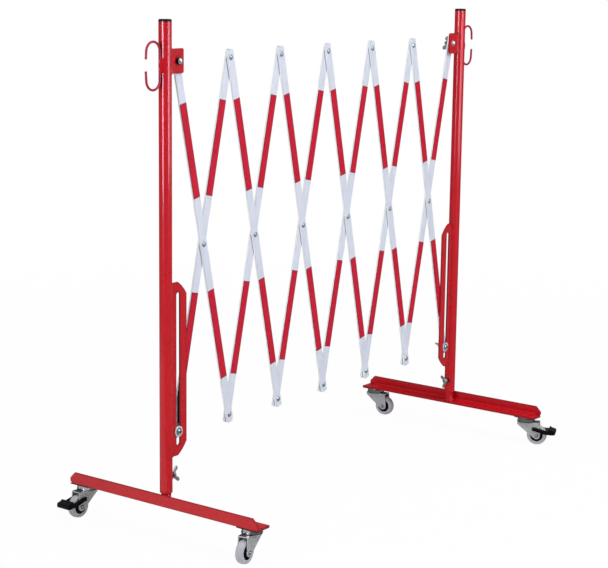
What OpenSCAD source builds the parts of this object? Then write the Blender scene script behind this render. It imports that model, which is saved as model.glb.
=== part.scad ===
// Expandable scissor barrier on castors, with a red post and foot at each end.
// X runs along the barrier, Y across it and Z up, in millimetres.
// The origin is on the floor, midway between the two posts.

/* [Lattice] */
// Distance between the end pivots of a bar
bar_pivot = 790; // [650:1:850]
// Width of a bar
bar_w = 20; // [16:0.5:24]
// Thickness of a bar
bar_t = 4; // [3:0.5:5]
// How far a bar runs past its end pivots
bar_over = 17; // [12:0.5:18]
// Corner radius of a bar's ends
bar_corner = 5; // [2:0.5:7]
// Angle of the bars from the vertical, as the barrier stands
open_angle = 12.6; // [8:0.1:30]
// Angle of the bars with the barrier folded
fold_angle = 2.6; // [2.6:0.1:5]
// Angle of the bars with the barrier pulled out
wide_angle = 52.6; // [45:0.1:53]
// Distance from a post's axis to its pivots
pivot_out = 34; // [32:0.5:44]
// Front face of the front bars, from the plane of the post axes
front_y = -0.5; // [-2:0.1:2]
// Gap between the front and the back bars, filled by a washer
layer_gap = 1; // [0.6:0.1:2]

/* [Posts] */
// Distance from the upper pivots to the top of the post's plug
post_over = 84; // [70:1:200]
// Outside diameter of the post tube
tube_d = 26.9; // [25:0.1:28]
// Wall of the post tube
tube_wall = 2.3; // [2:0.1:2.5]
// Height of the tube's lower end above the foot
tube_lift = 22.5; // [20:0.5:34]
// Thickness of the plug's head
cap_h = 4.5; // [3:0.5:8]
// Rounding of the plug's head
cap_round = 2.5; // [1:0.5:2.5]
// Length of the plug inside the tube
cap_plug = 14; // [8:1:20]

/* [Plates] */
// Thickness of the bracket and slot plates
plate_t = 3; // [2:0.5:5]
// Gap between a plate and the front bars
plate_gap = 0.5; // [0.4:0.1:1]
// Height of the upper bracket
bracket_h = 50; // [36:1:60]
// How far the bracket runs past its pivot
bracket_over = 18; // [14:0.5:20]
// Corner radius of the bracket
bracket_corner = 4; // [2:0.5:8]
// Width of the slot in the lower plate
slot_w = 11; // [9.5:0.5:12]
// How far the slot plate runs past the slot's ends
slot_margin = 22; // [14:1:24]
// Height of the folded lattice's lower pivots above the tube's lower end
slot_rise = 106.3; // [96:0.1:140]
// How far the slot plate runs past the pivot line
slot_over = 26.5; // [22:0.5:27]
// Corner cut of the slot plate
slot_chamfer = 27; // [8:1:30]
// Radius of the corner cut's curved edge
slot_curve = 90; // [50:5:200]
// Spare length of the slot below the folded lattice's pivots
slot_spare = 6; // [0:0.5:12]
// Radius of a tack weld
tack_r = 3.2; // [2:0.1:4]
// Length of a tack weld
tack_l = 9; // [5:0.5:14]

/* [Hooks] */
// Diameter of the hook wire
wire_d = 5; // [4:0.5:6]
// Bend radius of the hook, to the middle of the wire
hook_bend = 20; // [14:0.5:24]
// Height of the hook, outside to outside
hook_h = 100.7; // [90:0.1:120]
// Gap between the hook's free ends
hook_gap = 23.6; // [18:0.1:36]
// Height of the gap's middle above the middle of the hook
hook_shift = 2; // [0:0.1:4]
// Distance from the top of the plug to the middle of the hook
hook_drop = 91.4; // [70:0.1:120]
// Angle by which the free legs lean outwards
hook_splay = 4; // [0:0.5:8]
// Length of the weld between hook and post
hook_weld = 24; // [10:1:40]

/* [Feet] */
// Length of a foot
foot_l = 520; // [480:1:600]
// Width of the foot's flat flange
foot_w = 40; // [40:0.5:45]
// Height of the foot's upright flange
foot_h = 25; // [20:0.5:30]
// Thickness of the foot's flanges
foot_t = 4; // [3:0.5:5]
// Inner fillet of the foot angle
foot_fillet = 3; // [2:0.5:4]
// Corner cut of the upright flange
foot_chamfer = 13; // [6:0.5:15]
// Lower corner cut of the upright flange at its brake end
heel_cut = 5; // [2:0.5:8]
// Distance from the foot's outer face to the post axis
post_inset = 20; // [19:0.5:22]
// Outside diameter of the stub that the post stands on
stub_d = 21.3; // [18:0.1:21.5]
// Wall of the stub
stub_wall = 2.6; // [2:0.1:3]
// Length of the stub above the flange
stub_l = 91; // [80:1:120]
// Leg of the weld round the stub
stub_weld = 3.5; // [2:0.5:5]

/* [Castors] */
// Diameter of a wheel
wheel_d = 50; // [44:1:52]
// Width of a tyre
tyre_w = 17; // [14:0.5:20]
// Diameter of a wheel hub
hub_d = 32; // [28:0.5:36]
// Height of the foot's underside above the floor
castor_h = 70; // [68:0.5:75]
// Distance from the swivel axis to the wheel axle
trail = 28; // [24:0.5:30]
// Distance from the foot's end to a swivel axis
castor_inset = 30; // [26:1:60]
// Distance from the foot's outer face to a swivel axis
castor_off = 21; // [20:0.5:23]
// Diameter of the swivel head
head_d = 43; // [40:0.5:46]
// Height of the swivel head's body
head_h = 7.7; // [6:0.1:8]
// Thickness of the bearing ring in the swivel race
ball_d = 4; // [3:0.1:4.2]
// Diameter of the king pin
king_d = 10; // [8:0.5:12]
// Thickness of the fork's sheet
fork_t = 2.2; // [1.5:0.1:3]
// Radius of the fork legs round the axle
fork_nose = 9; // [7:0.5:10]
// Diameter of the hollow axle
axle_d = 6; // [5:0.5:8]
// Diameter of the axle's flanged ends
axle_flange_d = 8.5; // [8:0.5:12]
// Bore of the hollow axle
axle_bore = 3.6; // [2:0.1:4]
// Direction in which the left front wheel trails, from +X
left_front_swing = 187; // [0:1:359]
// Direction in which the left rear wheel trails, from +X
left_rear_swing = 179; // [0:1:359]
// Direction in which the right front wheel trails, from +X
right_front_swing = 293; // [0:1:359]
// Direction in which the right rear wheel trails, from +X
right_rear_swing = 275; // [0:1:359]

/* [Brakes] */
// Distance from the swivel axis to the tip of the pedal
pedal_reach = 75; // [72:0.5:86]
// Thickness of the pedal's side arms
pedal_t = 4; // [3:0.5:5]
// Gap between the brake shoe and the tyre
shoe_gap = 0.3; // [0.2:0.1:1]

/* [Fasteners] */
// Diameter of the bolts and wing screws
bolt_d = 8; // [6:0.5:9]
// Diameter of a bolt's domed head
bolt_head_d = 14; // [12:0.5:16]
// Height of a bolt's domed head
bolt_head_h = 5; // [3:0.5:6]
// Diameter of the large washer on the slot bolts
washer_d = 24; // [20:0.5:24]
// Diameter of a plain washer
plain_washer_d = 16; // [14:0.5:18]
// Thickness of a washer
washer_t = 1.6; // [1:0.1:2]
// Diameter of a rivet's shank
rivet_d = 6; // [5:0.5:8]
// Diameter of a rivet's head
rivet_head_d = 12; // [10:0.5:14]
// Height of a rivet's head
rivet_head_h = 2.8; // [2:0.1:3.5]
// Height of a rivet's closed tail
rivet_tail_h = 2; // [1.5:0.1:3]
// Reach of a wing from the axis of its nut
wing_r = 18; // [15:0.5:18]
// Thickness of a wing
wing_t = 2.4; // [1.5:0.1:3]
// Height of the clamp screw above the tube's lower end
clamp_rise = 32.5; // [26:0.5:40]
// Width across the flats of the clamp nut
clamp_nut_w = 13; // [12:0.5:15]
// Thickness of the clamp nut
clamp_nut_t = 6.5; // [5:0.5:8]

/* [Clearances] */
// Running clearance round a pin, on the radius
run = 0.06; // [0.02:0.01:0.1]
// Gap at a seat that stays put
seat = 0.05; // [0.02:0.01:0.1]
// Clear space round a bolt in a plate or a tube
loose = 0.3; // [0.2:0.05:0.5]

/* [Hidden] */
$fn = 64;

RED = [0.80, 0.13, 0.15];
WHITE = [0.88, 0.90, 0.95];
ZINC = [0.74, 0.76, 0.78];
GREY = [0.60, 0.60, 0.62];
BLACK = [0.08, 0.08, 0.09];

// Lattice of six crossed pairs of bars.
cells = 6;
pitch = bar_pivot * sin(open_angle);
drop = bar_pivot * cos(open_angle);
post_x = pivot_out + cells * pitch / 2;
lattice_x = pivot_out - post_x;
back_y = front_y + bar_t + layer_gap;
rear_y = back_y + bar_t;

// Heights: the folded lattice's lower pivots set the upper ones and the post's top.
foot_top = castor_h + foot_t;
tube_z0 = foot_top + tube_lift;
slot_low = tube_z0 + slot_rise;
pivot_z = slot_low + bar_pivot * cos(fold_angle);
slot_high = pivot_z - bar_pivot * cos(wide_angle);
low_z = pivot_z - drop;
mid_z = pivot_z - drop / 2;
total_h = pivot_z + post_over;
tube_z1 = total_h - cap_h;
hook_z = total_h - hook_drop;

// Posts and plates.
tube_r = tube_d / 2;
tube_in = tube_r - tube_wall;
plate_back = front_y - plate_gap;
plate_front = plate_back - plate_t;
plate_low = slot_low - slot_spare - slot_w / 2 - slot_margin;
plate_high = slot_high + slot_w / 2 + slot_margin;

// Fasteners.
bolt_r = bolt_d / 2;
rivet_r = rivet_d / 2;
wing_hub_r = bolt_r + 3;
wing_hub_h = bolt_d - 1;
wing_h = 1.7 * bolt_d;
bolt_end = wing_hub_h + 3;
clamp_z = tube_z0 + clamp_rise;
nut_out = tube_r + clamp_nut_t;

// Castors, with X along the trail and Z up from the floor.
wheel_r = wheel_d / 2;
head_low = castor_h - head_h;
ball_r = ball_d / 2;
crown_top = head_low - ball_d - 2 * run;
crown_low = crown_top - 2.5;
leg_in = tyre_w / 2 + 1.5;
leg_out = leg_in + fork_t;
king_head_h = 2.4;
head_skirt = 2.5;

// Swivel axes, front and rear, of the left foot from its post axis.
castor_x = castor_off - post_inset;
castor_y = foot_l / 2 - castor_inset;

// A ball segment on the XY plane, with base radius r and height h.
module dome(r, h) {
  big = (r * r + h * h) / (2 * h);
  intersection() {
    translate([0, 0, h - big]) sphere(r = big);
    cylinder(r = r + 1, h = h + 1);
  }
}

// Turns a Z-axis shape so that its top points towards the viewer's side, -Y.
module facing_front() {
  rotate([90, 0, 0]) children();
}

// Extrudes an outline drawn in the XZ plane from y towards the back by t.
module upright_sheet(y, t) {
  translate([0, y + t, 0]) rotate([90, 0, 0]) linear_extrude(t) children();
}

module rounded_box_outline(x0, x1, y0, y1, r) {
  translate([x0 + r, y0]) square([x1 - x0 - 2 * r, y1 - y0]);
  translate([x0, y0 + r]) square([x1 - x0, y1 - y0 - 2 * r]);
  for (x = [x0 + r, x1 - r], y = [y0 + r, y1 - r]) translate([x, y]) circle(r);
}

// Outline of a bar from its lower pivot, with holes of the given radii.
module bar_outline(low_r, high_r) {
  difference() {
    rounded_box_outline(-bar_w / 2, bar_w / 2, -bar_over, bar_pivot + bar_over, bar_corner);
    circle(low_r);
    translate([0, bar_pivot / 2]) circle(rivet_r + run);
    translate([0, bar_pivot]) circle(high_r);
  }
}

// Front bar k runs down to the right, from the upper to the lower pivot.
module bar_a(k) {
  high_r = (k == 1 ? bolt_r : rivet_r) + run;
  low_r = (k == cells ? bolt_r : rivet_r) + run;
  color(WHITE) translate([lattice_x + k * pitch, 0, low_z]) rotate([0, -open_angle, 0])
    upright_sheet(front_y, bar_t) bar_outline(low_r, high_r);
}

// Back bar k runs up to the right.
module bar_b(k) {
  high_r = (k == cells ? bolt_r : rivet_r) + run;
  low_r = (k == 1 ? bolt_r : rivet_r) + run;
  color(WHITE) translate([lattice_x + (k - 1) * pitch, 0, low_z]) rotate([0, open_angle, 0])
    upright_sheet(back_y, bar_t) bar_outline(low_r, high_r);
}

// One domed rivet through both layers, and the washer between them.
module rivet(x, z) {
  translate([x, 0, z]) {
    translate([0, front_y, 0]) facing_front() dome(rivet_head_d / 2, rivet_head_h);
    translate([0, rear_y, 0]) facing_front() cylinder(r = rivet_r, h = rear_y - front_y);
    translate([0, rear_y, 0]) rotate([-90, 0, 0]) dome(rivet_head_d / 2 - 1, rivet_tail_h);
  }
  translate([x, back_y, z]) facing_front() difference() {
    cylinder(r = rivet_head_d / 2 + 1, h = layer_gap);
    translate([0, 0, -1]) cylinder(r = rivet_r + run, h = layer_gap + 2);
  }
}

// The rivets that turn with front bar k.
module rivets(k) {
  color(ZINC) {
    rivet(lattice_x + (k - 0.5) * pitch, mid_z);
    if (k > 1) rivet(lattice_x + (k - 1) * pitch, pivot_z);
    if (k < cells) rivet(lattice_x + k * pitch, low_z);
  }
}

// Moves a left-hand piece, drawn round its post axis, to either end.
module at_left() {
  translate([-post_x, 0, 0]) children();
}

module at_right() {
  translate([post_x, 0, 0]) mirror([1, 0, 0]) children();
}

module post_tube() {
  color(RED) difference() {
    translate([0, 0, tube_z0]) cylinder(r = tube_r, h = tube_z1 - tube_z0);
    translate([0, 0, tube_z0 - 1]) cylinder(r = tube_in, h = tube_z1 - tube_z0 + 2);
    translate([0, 0, clamp_z]) rotate([0, 90, 0]) cylinder(r = bolt_r + loose, h = tube_r + 1);
  }
}

module post_cap() {
  round_steps = 6;
  color(BLACK) translate([0, 0, tube_z1]) {
    rotate_extrude() polygon(concat(
      [[0, 0], [tube_r, 0], [tube_r, cap_h - cap_round]],
      [for (i = [1:round_steps]) let (a = 90 * i / round_steps)
        [tube_r - cap_round + cap_round * cos(a), cap_h - cap_round + cap_round * sin(a)]],
      [[0, cap_h]]));
    translate([0, 0, -cap_plug]) cylinder(r = tube_in - seat, h = cap_plug);
  }
}

// Wire hook with two free ends that face each other across a gap. The small spheres lie inside
// the wire, across the planes where its straight and bent lengths meet.
module hook() {
  wire_r = wire_d / 2;
  leg_x = -(tube_r + 2 * seat + wire_r);
  bend_z = hook_h / 2 - wire_r - hook_bend;
  sweep = 180 - hook_splay;
  end_x = leg_x - hook_bend + hook_bend * cos(sweep);
  end_z = bend_z + hook_bend * sin(sweep);
  color(RED) translate([0, 0, hook_z]) union() {
    translate([leg_x, 0, -bend_z]) cylinder(r = wire_r, h = 2 * bend_z);
    for (side = [0, 1]) mirror([0, 0, side]) {
      translate([leg_x - hook_bend, 0, bend_z]) rotate([90, 0, 0])
        rotate_extrude(angle = sweep) translate([hook_bend, 0]) circle(wire_r);
      translate([end_x, 0, end_z]) rotate([0, 180 + hook_splay, 0])
        cylinder(r = wire_r, h = (end_z - hook_gap / 2 - (1 - 2 * side) * hook_shift) / cos(hook_splay));
      for (x = [leg_x, end_x]) translate([x, 0, x == leg_x ? bend_z : end_z])
        sphere(r = 0.8 * wire_r);
    }
    hook_bead();
  }
}

module hook_bead() {
  difference() {
    translate([1 - (tube_r + 2 * seat + wire_d / 2), 0, hook_shift - hook_weld / 2])
      cylinder(r = wire_d / 2 + 1, h = hook_weld);
    cylinder(r = tube_r + seat, h = hook_h, center = true);
  }
}

// Plates are cut to the tube, so that they start at its wall.
module cut_to_tube() {
  difference() {
    children();
    translate([0, 0, plate_low - 10]) rotate([0, 0, 120])
      cylinder(r = tube_r + seat, h = tube_z1 - plate_low);
  }
}

module bracket() {
  low = -bracket_h / 2;
  color(RED) cut_to_tube() translate([0, 0, pivot_z]) union() {
    upright_sheet(plate_front, plate_t) difference() {
      rounded_box_outline(tube_r - 3 - bracket_corner, pivot_out + bracket_over,
        low, bracket_h / 2, bracket_corner);
      translate([pivot_out, 0]) circle(bolt_r + loose);
    }
    for (z = [low, bracket_h / 2 - tack_l])
      translate([tube_r, plate_front, z]) cylinder(r = tack_r, h = tack_l);
  }
}

// Waste at a corner of the slot plate, drawn for the lower outer corner at the origin.
module slot_corner() {
  c = slot_chamfer;
  reach = sqrt(slot_curve * slot_curve - c * c / 2) / sqrt(2);
  difference() {
    translate([-c, -1]) square([c + 1, c + 1]);
    translate([-c / 2 - reach, c / 2 + reach]) circle(slot_curve);
  }
}

module slot_plate() {
  out_x = pivot_out + slot_over;
  root_x = tube_r - 3;
  slot_end = slot_low - slot_spare;
  color(RED) cut_to_tube() union() {
    upright_sheet(plate_front, plate_t) difference() {
      translate([root_x, plate_low]) square([out_x - root_x, plate_high - plate_low]);
      translate([out_x, plate_low]) slot_corner();
      translate([out_x, plate_high]) mirror([0, 1]) slot_corner();
      translate([pivot_out - slot_w / 2, slot_end]) square([slot_w, slot_high - slot_end]);
      for (z = [slot_end, slot_high]) translate([pivot_out, z]) circle(slot_w / 2);
    }
    for (z = [plate_low, (plate_low + plate_high) / 2 - tack_l / 2, plate_high - tack_l])
      translate([tube_r, plate_front, z]) cylinder(r = tack_r, h = tack_l);
  }
}

// Angle-section foot: the upright flange is on the outer side, at -X.
// brake_end is 1 where the rear end carries the brake, -1 where the front does.
module foot(brake_end) {
  x0 = -post_inset;
  y1 = foot_l / 2;
  z1 = castor_h + foot_h;
  color(RED) difference() {
    union() {
      translate([x0, 0, 0]) rotate([90, 0, 90]) linear_extrude(foot_t) polygon([
        [-brake_end * y1, castor_h], [-brake_end * y1, z1 - foot_chamfer],
        [-brake_end * (y1 - foot_chamfer), z1], [brake_end * (y1 - foot_chamfer), z1],
        [brake_end * y1, z1 - foot_chamfer], [brake_end * y1, castor_h + heel_cut],
        [brake_end * (y1 - heel_cut), castor_h]]);
      translate([x0 + foot_t / 2, -y1 + heel_cut, castor_h])
        cube([foot_w - foot_t / 2, foot_l - 2 * heel_cut, foot_t]);
      translate([x0 + foot_t, -y1, castor_h]) cube([foot_w - foot_t, foot_l, foot_t]);
      for (side = [-1, 1]) translate([castor_x, side * castor_y, foot_top - seat]) dome(7, 1.8);
      translate([x0 + foot_t, y1 - foot_chamfer, foot_top]) rotate([90, 0, 0])
        linear_extrude(foot_l - 2 * foot_chamfer) difference() {
          translate([-1, -1]) square(foot_fillet + 1);
          translate([foot_fillet, foot_fillet]) circle(foot_fillet);
        }
    }
    for (side = [-1, 1]) translate([castor_x, side * castor_y, castor_h - 1])
      cylinder(r = king_d / 2 + seat, h = foot_t + 1);
  }
}

module foot_stub() {
  stub_r = stub_d / 2;
  color(RED) translate([0, 0, foot_top]) difference() {
    union() {
      cylinder(r = stub_r, h = stub_l);
      cylinder(r1 = stub_r + stub_weld, r2 = stub_r, h = stub_weld);
    }
    translate([0, 0, -1]) cylinder(r = stub_r - stub_wall, h = stub_l + 2);
    translate([-post_inset + foot_t, -foot_l / 2, -1]) mirror([1, 0, 0]) cube([foot_w, foot_l, foot_h]);
  }
}

// Hexagonal nut welded to the tube, in which the clamp screw turns.
module clamp_nut() {
  color(RED) translate([0, 0, clamp_z]) rotate([0, 90, 0]) difference() {
    cylinder(r = clamp_nut_w / sqrt(3), h = nut_out, $fn = 6);
    translate([0, 0, -1]) cylinder(r = bolt_r + run, h = nut_out + 2);
    rotate([0, -90, 0]) translate([0, 0, -clamp_nut_w]) cylinder(r = tube_r + seat, h = 2 * clamp_nut_w);
  }
}

// Hub and two wings, standing on the XY plane.
module wing_grip() {
  tip_r = wing_r / 3.2;
  cylinder(r1 = wing_hub_r, r2 = wing_hub_r - 1.5, h = wing_hub_h);
  for (side = [0, 1]) mirror([side, 0, 0]) rotate([90, 0, 0])
    linear_extrude(wing_t, center = true) {
      translate([wing_r - tip_r, wing_h - tip_r]) circle(tip_r);
      polygon([[bolt_r + 0.5, 0.8], [wing_hub_r, 0.8], [wing_r - 0.6, wing_h - tip_r - 1.5],
        [wing_r - 2 * tip_r, wing_h - tip_r + 1], [bolt_r + 0.5, wing_hub_h - 0.5]]);
    }
}

module wing_nut(angle) {
  color(ZINC) rotate([-90, 0, 0]) rotate([0, 0, angle]) difference() {
    wing_grip();
    translate([0, 0, -1]) cylinder(r = bolt_r + run, h = wing_h + 2);
  }
}

// Wing screw that presses on the stub through the wall of the tube.
module clamp_screw() {
  tip_x = stub_d / 2 + loose;
  color(ZINC) translate([0, 0, clamp_z]) rotate([0, 90, 0]) {
    translate([0, 0, tip_x]) cylinder(r = bolt_r, h = nut_out - tip_x + 1);
    translate([0, 0, nut_out + loose]) wing_grip();
  }
}

module ring(r_out, y0, y1) {
  translate([0, y1, 0]) facing_front() difference() {
    cylinder(r = r_out, h = y1 - y0);
    translate([0, 0, -1]) cylinder(r = bolt_r + run, h = y1 - y0 + 2);
  }
}

// Domed bolt with its head at y0, a spacer up to the bar at bar_y and a rear washer.
// slot is true for the bolts that slide in a slot and carry the large washer.
module pivot_bolt(bar_y, slot) {
  head_y = slot ? plate_front - washer_t : plate_front;
  nut_y = bar_y + bar_t + washer_t;
  color(ZINC) translate([pivot_out, 0, slot ? low_z : pivot_z]) {
    translate([0, head_y, 0]) facing_front() dome(bolt_head_d / 2, bolt_head_h);
    translate([0, nut_y + bolt_end, 0]) facing_front() cylinder(r = bolt_r, h = nut_y + bolt_end - head_y);
    if (slot) ring(washer_d / 2, plate_front - washer_t, plate_front);
    ring(plain_washer_d / 2, plate_back, bar_y);
    ring(plain_washer_d / 2, bar_y + bar_t, nut_y);
  }
}

module pivot_wing_nut(bar_y, slot, angle) {
  translate([pivot_out, bar_y + bar_t + washer_t, slot ? low_z : pivot_z]) wing_nut(angle);
}

// Swivel head under the foot, with its bearing ring and its king pin.
module castor_head() {
  race_r = (head_d / 2 - head_skirt + king_d / 2 + 6) / 2;
  king_low = crown_low - 2 * run - king_head_h;
  translate([0, 0, head_low]) cylinder(r = head_d / 2, h = head_h);
  translate([0, 0, crown_top + 1]) difference() {
    cylinder(r = head_d / 2, h = head_low - crown_top - 1 + 0.5);
    translate([0, 0, -1]) cylinder(r = head_d / 2 - head_skirt, h = head_low - crown_top + 2);
  }
  translate([0, 0, king_low]) cylinder(r = king_d / 2, h = foot_top - 2 * seat - king_low);
  translate([0, 0, king_low]) cylinder(r = king_d / 2 + 3, h = king_head_h);
  translate([0, 0, crown_top + run + ball_r]) rotate_extrude() translate([race_r, 0]) circle(ball_r);
}

module castor_heads() {
  color(ZINC) for (side = [-1, 1]) translate([castor_x, side * castor_y, 0]) castor_head();
}

// Point where the line from p touches the circle round c of radius r, on its lower side.
function tangent_point(p, c, r) =
  let (d = c - p, a = atan2(d[1], d[0]) - asin(r / norm(d)), l = sqrt(d * d - r * r))
  [p[0] + l * cos(a), p[1] + l * sin(a)];

// Side outline of a fork leg, from the crown down to the nose round the axle.
module leg_outline(lead_x) {
  rim_z = crown_low - 4;
  axle = [trail, wheel_r];
  touch = tangent_point([lead_x, rim_z], axle, fork_nose);
  difference() {
    union() {
      polygon([[lead_x, crown_top], [lead_x, rim_z], touch, axle,
        [trail + fork_nose, wheel_r], [trail + 6, crown_top]]);
      translate(axle) circle(fork_nose);
    }
    translate(axle) circle(axle_d / 2 + seat);
  }
}

brake_pivot = [trail - 6, wheel_r + 16.5];

// Pressed fork: crown with a turned-down front rim and two legs, and the hollow axle.
module fork(brake) {
  crown_r = head_d / 2 - 0.5;
  lead = head_d / 2 - 0.5;
  flange_t = 0.9;
  color(ZINC) {
    difference() {
      union() {
        translate([0, 0, crown_low]) cylinder(r = crown_r, h = crown_top - crown_low);
        translate([-lead, -leg_out, crown_low]) cube([lead + trail + 6, 2 * leg_out, crown_top - crown_low]);
        translate([-lead, -leg_out, crown_low - 4]) cube([fork_t, 2 * leg_out, 5]);
        for (side = [-1, 1])
          translate([0, side * (leg_in + fork_t / 2) + fork_t / 2, 0])
            rotate([90, 0, 0]) linear_extrude(fork_t) leg_outline(-lead);
        if (brake) for (side = [0, 1]) mirror([0, side, 0])
          translate([brake_pivot[0], leg_in, brake_pivot[1]]) rotate([-90, 0, 0])
            cylinder(r = 2.5, h = fork_t + pedal_t + 2 * loose);
      }
      translate([0, 0, crown_low - 1]) cylinder(r = king_d / 2 + run, h = crown_top - crown_low + 2);
    }
    translate([trail, -leg_out - flange_t, wheel_r]) rotate([-90, 0, 0]) difference() {
      union() {
        cylinder(r = axle_d / 2, h = 2 * (leg_out + flange_t));
        for (z = [0, 2 * leg_out + flange_t]) translate([0, 0, z])
          cylinder(r = axle_flange_d / 2, h = flange_t);
      }
      translate([0, 0, -1]) cylinder(r = axle_bore / 2, h = 2 * (leg_out + flange_t) + 2);
    }
  }
}

// Turns a profile, drawn with its radius along X and its width along Y, about the axle.
module about_axle() {
  translate([trail, 0, wheel_r]) rotate([90, 0, 0]) rotate_extrude() children();
}

module tyre() {
  shoulder = tyre_w / 2;
  tread_drop = 3.2;
  steps = 10;
  color(GREY) about_axle() polygon(concat(
    [[hub_d / 2 + seat, shoulder - 0.8], [hub_d / 2 + seat, 0.8 - shoulder]],
    [for (i = [0:steps]) let (a = -90 + 180 * i / steps)
      [wheel_r - tread_drop + tread_drop * cos(a), shoulder * sin(a)]]));
}

module hub() {
  rim = 2.2;
  web = tyre_w / 2 - 3.5;
  bore = axle_d / 2 + run;
  boss = fork_nose - 2.5;
  half = leg_in - loose;
  rim_half = tyre_w / 2 - 0.8;
  color(BLACK) about_axle() polygon([
    [bore, -half], [boss, -half], [boss, -web], [hub_d / 2 - rim, -web],
    [hub_d / 2 - rim, -rim_half], [hub_d / 2, -rim_half], [hub_d / 2, rim_half],
    [hub_d / 2 - rim, rim_half], [hub_d / 2 - rim, web], [boss, web], [boss, half], [bore, half]]);
}

// Brake pedal: two side arms on the fork's studs and a treadle behind the wheel.
module pedal() {
  arm_r = 4.2;
  back_x = pedal_reach;
  shoe_r = wheel_r + shoe_gap;
  join = [trail + wheel_r - 4, wheel_r + 10.5];
  color(BLACK) {
    difference() {
      union() {
        for (side = [-1, 1]) translate([0, side * (leg_out + loose + pedal_t / 2) + pedal_t / 2, 0])
          rotate([90, 0, 0]) linear_extrude(pedal_t) difference() {
            union() {
              translate(brake_pivot) square([10, 8.4], center = true);
              polygon([brake_pivot + [0, arm_r], brake_pivot - [0, arm_r], join - [1, 5.5],
                join + [12, -6], join + [12, 5], join + [0, 4.5]]);
            }
            translate(brake_pivot) circle(2.5 + run);
          }
        translate([0, leg_out + loose + pedal_t, 0]) rotate([90, 0, 0])
          linear_extrude(2 * (leg_out + loose + pedal_t)) polygon([
            join + [2, -6], [back_x - 14, wheel_r + 4.5], [back_x - 12, wheel_r + 4],
            [back_x - 1, wheel_r + 5], [back_x, wheel_r + 7], [back_x, wheel_r + 13],
            [back_x - 2, wheel_r + 15], [back_x - 11, wheel_r + 17.5], [back_x - 14, wheel_r + 20],
            [back_x - 17, wheel_r + 19], join + [10, 5], join + [2, 4]]);
      }
      translate([trail, tyre_w / 2 + 1, wheel_r]) rotate([90, 0, 0]) cylinder(r = shoe_r, h = tyre_w + 2);
    }
  }
}

// Places a castor's moving parts: side is -1 at the left foot and 1 at the right.
module at_castor(side, end, swing) {
  translate([side * (post_x - castor_x), end * castor_y, 0]) rotate([0, 0, swing]) children();
}

bar_a(1);  // bar_a1
bar_a(2);  // bar_a2
bar_a(3);  // bar_a3
bar_a(4);  // bar_a4
bar_a(5);  // bar_a5
bar_a(6);  // bar_a6
bar_b(1);  // bar_b1
bar_b(2);  // bar_b2
bar_b(3);  // bar_b3
bar_b(4);  // bar_b4
bar_b(5);  // bar_b5
bar_b(6);  // bar_b6
rivets(1);  // rivets_1
rivets(2);  // rivets_2
rivets(3);  // rivets_3
rivets(4);  // rivets_4
rivets(5);  // rivets_5
rivets(6);  // rivets_6
at_left() post_tube();  // left_post
at_left() post_cap();  // left_post_cap
at_left() hook();  // left_hook
at_left() bracket();  // left_bracket
at_left() slot_plate();  // left_slot_plate
at_right() post_tube();  // right_post
at_right() post_cap();  // right_post_cap
at_right() hook();  // right_hook
at_right() bracket();  // right_bracket
at_right() slot_plate();  // right_slot_plate
at_left() foot(1);  // left_foot
at_left() foot_stub();  // left_foot_stub
at_right() foot(-1);  // right_foot
at_right() foot_stub();  // right_foot_stub
at_left() clamp_nut();  // left_clamp_nut
at_left() clamp_screw();  // left_clamp_screw
at_right() clamp_nut();  // right_clamp_nut
at_right() clamp_screw();  // right_clamp_screw
at_left() pivot_bolt(front_y, false);  // left_bracket_bolt
at_left() pivot_wing_nut(front_y, false, 60);  // left_bracket_wing_nut
at_left() pivot_bolt(back_y, true);  // left_slot_bolt
at_left() pivot_wing_nut(back_y, true, 75);  // left_slot_wing_nut
at_right() pivot_bolt(back_y, false);  // right_bracket_bolt
at_right() pivot_wing_nut(back_y, false, 62);  // right_bracket_wing_nut
at_right() pivot_bolt(front_y, true);  // right_slot_bolt
at_right() pivot_wing_nut(front_y, true, -35);  // right_slot_wing_nut
at_left() castor_heads();  // left_castor_heads
at_right() castor_heads();  // right_castor_heads
at_castor(-1, -1, left_front_swing) fork(false);  // left_front_fork
at_castor(-1, 1, left_rear_swing) fork(true);  // left_rear_fork
at_castor(1, -1, right_front_swing) fork(true);  // right_front_fork
at_castor(1, 1, right_rear_swing) fork(false);  // right_rear_fork
at_castor(-1, -1, left_front_swing) tyre();  // left_front_tyre
at_castor(-1, 1, left_rear_swing) tyre();  // left_rear_tyre
at_castor(1, -1, right_front_swing) tyre();  // right_front_tyre
at_castor(1, 1, right_rear_swing) tyre();  // right_rear_tyre
at_castor(-1, -1, left_front_swing) hub();  // left_front_hub
at_castor(-1, 1, left_rear_swing) hub();  // left_rear_hub
at_castor(1, -1, right_front_swing) hub();  // right_front_hub
at_castor(1, 1, right_rear_swing) hub();  // right_rear_hub
at_castor(-1, 1, left_rear_swing) pedal();  // left_rear_pedal
at_castor(1, -1, right_front_swing) pedal();  // right_front_pedal
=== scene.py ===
import math

import bpy
from mathutils import Matrix, Vector, noise

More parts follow.
